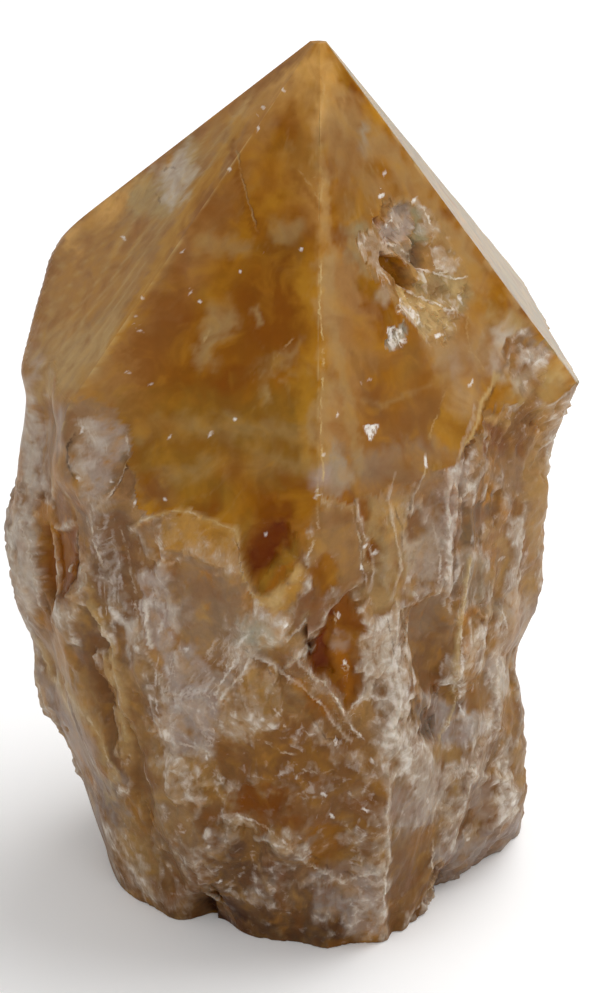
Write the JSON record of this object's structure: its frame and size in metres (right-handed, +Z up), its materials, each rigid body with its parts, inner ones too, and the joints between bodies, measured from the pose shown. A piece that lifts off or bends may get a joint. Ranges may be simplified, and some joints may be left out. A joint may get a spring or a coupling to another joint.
{
  "type": "orchid calcite point",
  "caption": "Honey-brown calcite point: polished faces meeting in an off-centre tip over a rough, broken, tapering body with a flat cut base.",
  "frame": {"origin": "on the flat cut base, under the middle of the stone's bounding box", "axes": "+Z up out of the base towards the tip; -Y is the front, where the upright edge between the two broad polished faces is; the longest polished side slope is towards -X"},
  "size_m": [0.0754, 0.0666, 0.1157],
  "materials": {
    "calcite": "waxy, polished on the faces of the tip and broken and matt below"
  },
  "bodies": {
    "root": {"calcite_point": "calcite"}
  },
  "joints": []
}
